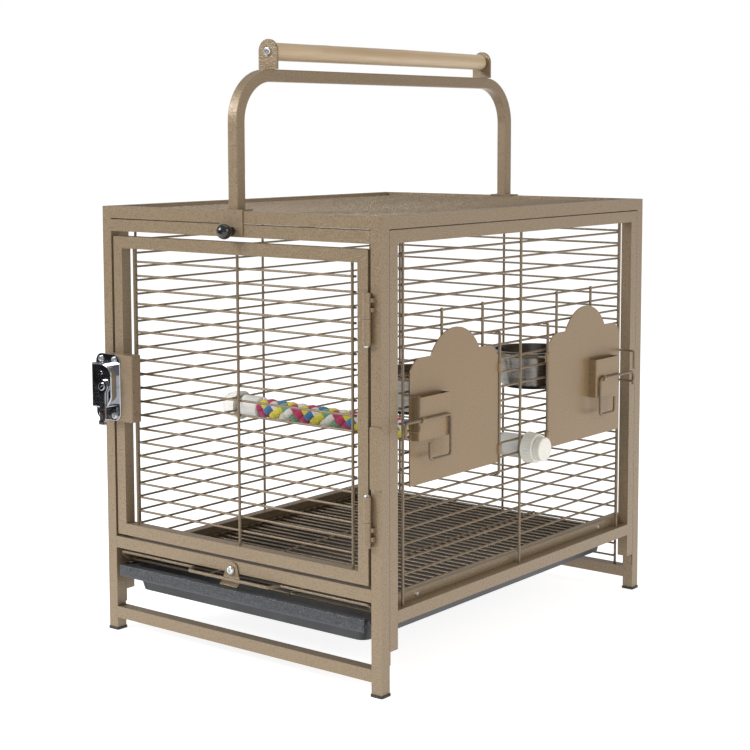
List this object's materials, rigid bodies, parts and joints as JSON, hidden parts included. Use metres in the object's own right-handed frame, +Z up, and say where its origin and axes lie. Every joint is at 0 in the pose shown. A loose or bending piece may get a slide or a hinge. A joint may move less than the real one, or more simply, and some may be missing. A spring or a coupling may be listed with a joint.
{
  "type": "bird travel cage",
  "caption": "Wire travel cage for a small bird: hinged front door with slam latch, pull-out tray and grate, side feeder doors, cups, rope perch and carrying handle.",
  "frame": {"origin": "on the floor under the middle of the cage body, half-way between the posts in X and in Y", "axes": "+Z up; the front (big door, latch, tray) faces -Y; the two feeder doors are in the +X side; +X is to the right seen from the front"},
  "size_m": [0.4158, 0.5496, 0.641],
  "materials": {
    "powder_coat": "taupe hammer-tone powder coat",
    "chrome": "polished",
    "stainless": "spun stainless steel, semi-polished",
    "zinc": "zinc plated hardware",
    "black_plastic": "glossy black moulded plastic",
    "tray_plastic": "charcoal moulded plastic with a speckled rim band",
    "wood": "light varnished wood, slightly knotty",
    "rope": "multi-coloured wound rope",
    "white_plastic": "white moulded plastic, fluted",
    "sleeve_plastic": "white moulded sleeve"
  },
  "bodies": {
    "cage": {"front_frame": "powder_coat", "back_frame": "powder_coat", "left_panel_frame": "powder_coat", "right_panel_frame": "powder_coat", "top_frame": "powder_coat", "left_panel_wires": "powder_coat", "right_panel_wires": "powder_coat", "back_wires": "powder_coat", "top_wires": "powder_coat", "foot_caps": "black_plastic", "panel_rests": "powder_coat", "left_guide": "powder_coat", "right_guide": "powder_coat", "guide_screws": "zinc", "hinge_post_knuckles": "powder_coat", "hinge_pins": "zinc", "post_plate": "powder_coat", "latch_strike": "chrome", "feeder_hinge_rods": "powder_coat", "feeder_keepers": "powder_coat", "cup_rings": "powder_coat", "perch_rope": "rope", "perch_sleeves": "sleeve_plastic", "perch_bolts": "zinc", "handle_tube": "powder_coat", "handle_ears": "powder_coat", "handle_grip": "wood", "grip_screws": "zinc", "handle_feet": "powder_coat", "tab_screw": "zinc"},
    "front_door": {"door_frame": "powder_coat", "door_wires": "powder_coat", "hinge_door_knuckles": "powder_coat", "latch_bracket": "powder_coat", "latch_plate": "chrome", "latch_housing": "chrome", "latch_screws": "zinc", "latch_boss": "chrome"},
    "latch_lever": {"latch_lever": "chrome"},
    "tray": {"tray": "tray_plastic"},
    "grate": {"grate": "powder_coat"},
    "retaining_tab": {"retaining_tab": "powder_coat"},
    "feeder_door_near": {"feeder_door_near": "powder_coat", "feeder_strap_near": "powder_coat"},
    "feeder_door_far": {"feeder_door_far": "powder_coat", "feeder_strap_far": "powder_coat"},
    "feeder_bail_near": {"feeder_bail_near": "powder_coat"},
    "feeder_bail_far": {"feeder_bail_far": "powder_coat"},
    "cup_near": {"cup_near": "stainless"},
    "cup_far": {"cup_far": "stainless"},
    "perch_nut_left": {"perch_nut_left": "white_plastic"},
    "perch_nut_right": {"perch_nut_right": "white_plastic"},
    "knob_front": {"knob_front": "black_plastic"},
    "knob_rear": {"knob_rear": "black_plastic"}
  },
  "joints": [
    {"name": "front_door_hinge", "type": "hinge", "parent": "cage", "child": "front_door", "pos_m": [0.1763, -0.25485, 0.272], "axis": [0, 0, 1], "range_deg": [0, 170]},
    {"name": "latch_lever_pivot", "type": "hinge", "parent": "front_door", "child": "latch_lever", "pos_m": [-0.167, -0.277, 0.2755], "axis": [0, -1, 0], "range_deg": [0, 90]},
    {"name": "tray_slide", "type": "slide", "parent": "cage", "child": "tray", "axis": [0, -1, 0], "range_m": [0, 0.42]},
    {"name": "grate_slide", "type": "slide", "parent": "cage", "child": "grate", "axis": [0, -1, 0], "range_m": [0, 0.42]},
    {"name": "retaining_tab_pivot", "type": "hinge", "parent": "cage", "child": "retaining_tab", "pos_m": [-0.005, -0.2515, 0.096], "axis": [0, 1, 0], "range_deg": [-90, 90]},
    {"name": "feeder_door_near_hinge", "type": "hinge", "parent": "cage", "child": "feeder_door_near", "pos_m": [0.1889, -0.047, 0.27], "axis": [0, 0, 1], "range_deg": [0, 90]},
    {"name": "feeder_door_far_hinge", "type": "hinge", "parent": "cage", "child": "feeder_door_far", "pos_m": [0.1889, 0.047, 0.27], "axis": [0, 0, -1], "range_deg": [0, 90]},
    {"name": "feeder_bail_near_pivot", "type": "hinge", "parent": "feeder_door_near", "child": "feeder_bail_near", "pos_m": [0.2008, -0.1988, 0.2673], "axis": [0, -1, 0], "range_deg": [0, 150]},
    {"name": "feeder_bail_far_pivot", "type": "hinge", "parent": "feeder_door_far", "child": "feeder_bail_far", "pos_m": [0.2008, 0.1482, 0.2673], "axis": [0, -1, 0], "range_deg": [0, 150]},
    {"name": "cup_near_lift", "type": "slide", "parent": "cage", "child": "cup_near", "axis": [0, 0, 1], "range_m": [0, 0.05]},
    {"name": "cup_far_lift", "type": "slide", "parent": "cage", "child": "cup_far", "axis": [0, 0, 1], "range_m": [0, 0.05]},
    {"name": "perch_nut_left_turn", "type": "hinge", "parent": "cage", "child": "perch_nut_left", "pos_m": [-0.195, -0.036, 0.2217], "axis": [1, 0, 0], "continuous": true},
    {"name": "perch_nut_right_turn", "type": "hinge", "parent": "cage", "child": "perch_nut_right", "pos_m": [0.195, 0.014, 0.2066], "axis": [1, 0, 0], "continuous": true},
    {"name": "knob_front_turn", "type": "hinge", "parent": "cage", "child": "knob_front", "pos_m": [0, -0.2545, 0.4466], "axis": [0, 1, 0], "continuous": true},
    {"name": "knob_rear_turn", "type": "hinge", "parent": "cage", "child": "knob_rear", "pos_m": [0, 0.2545, 0.4466], "axis": [0, 1, 0], "continuous": true}
  ]
}
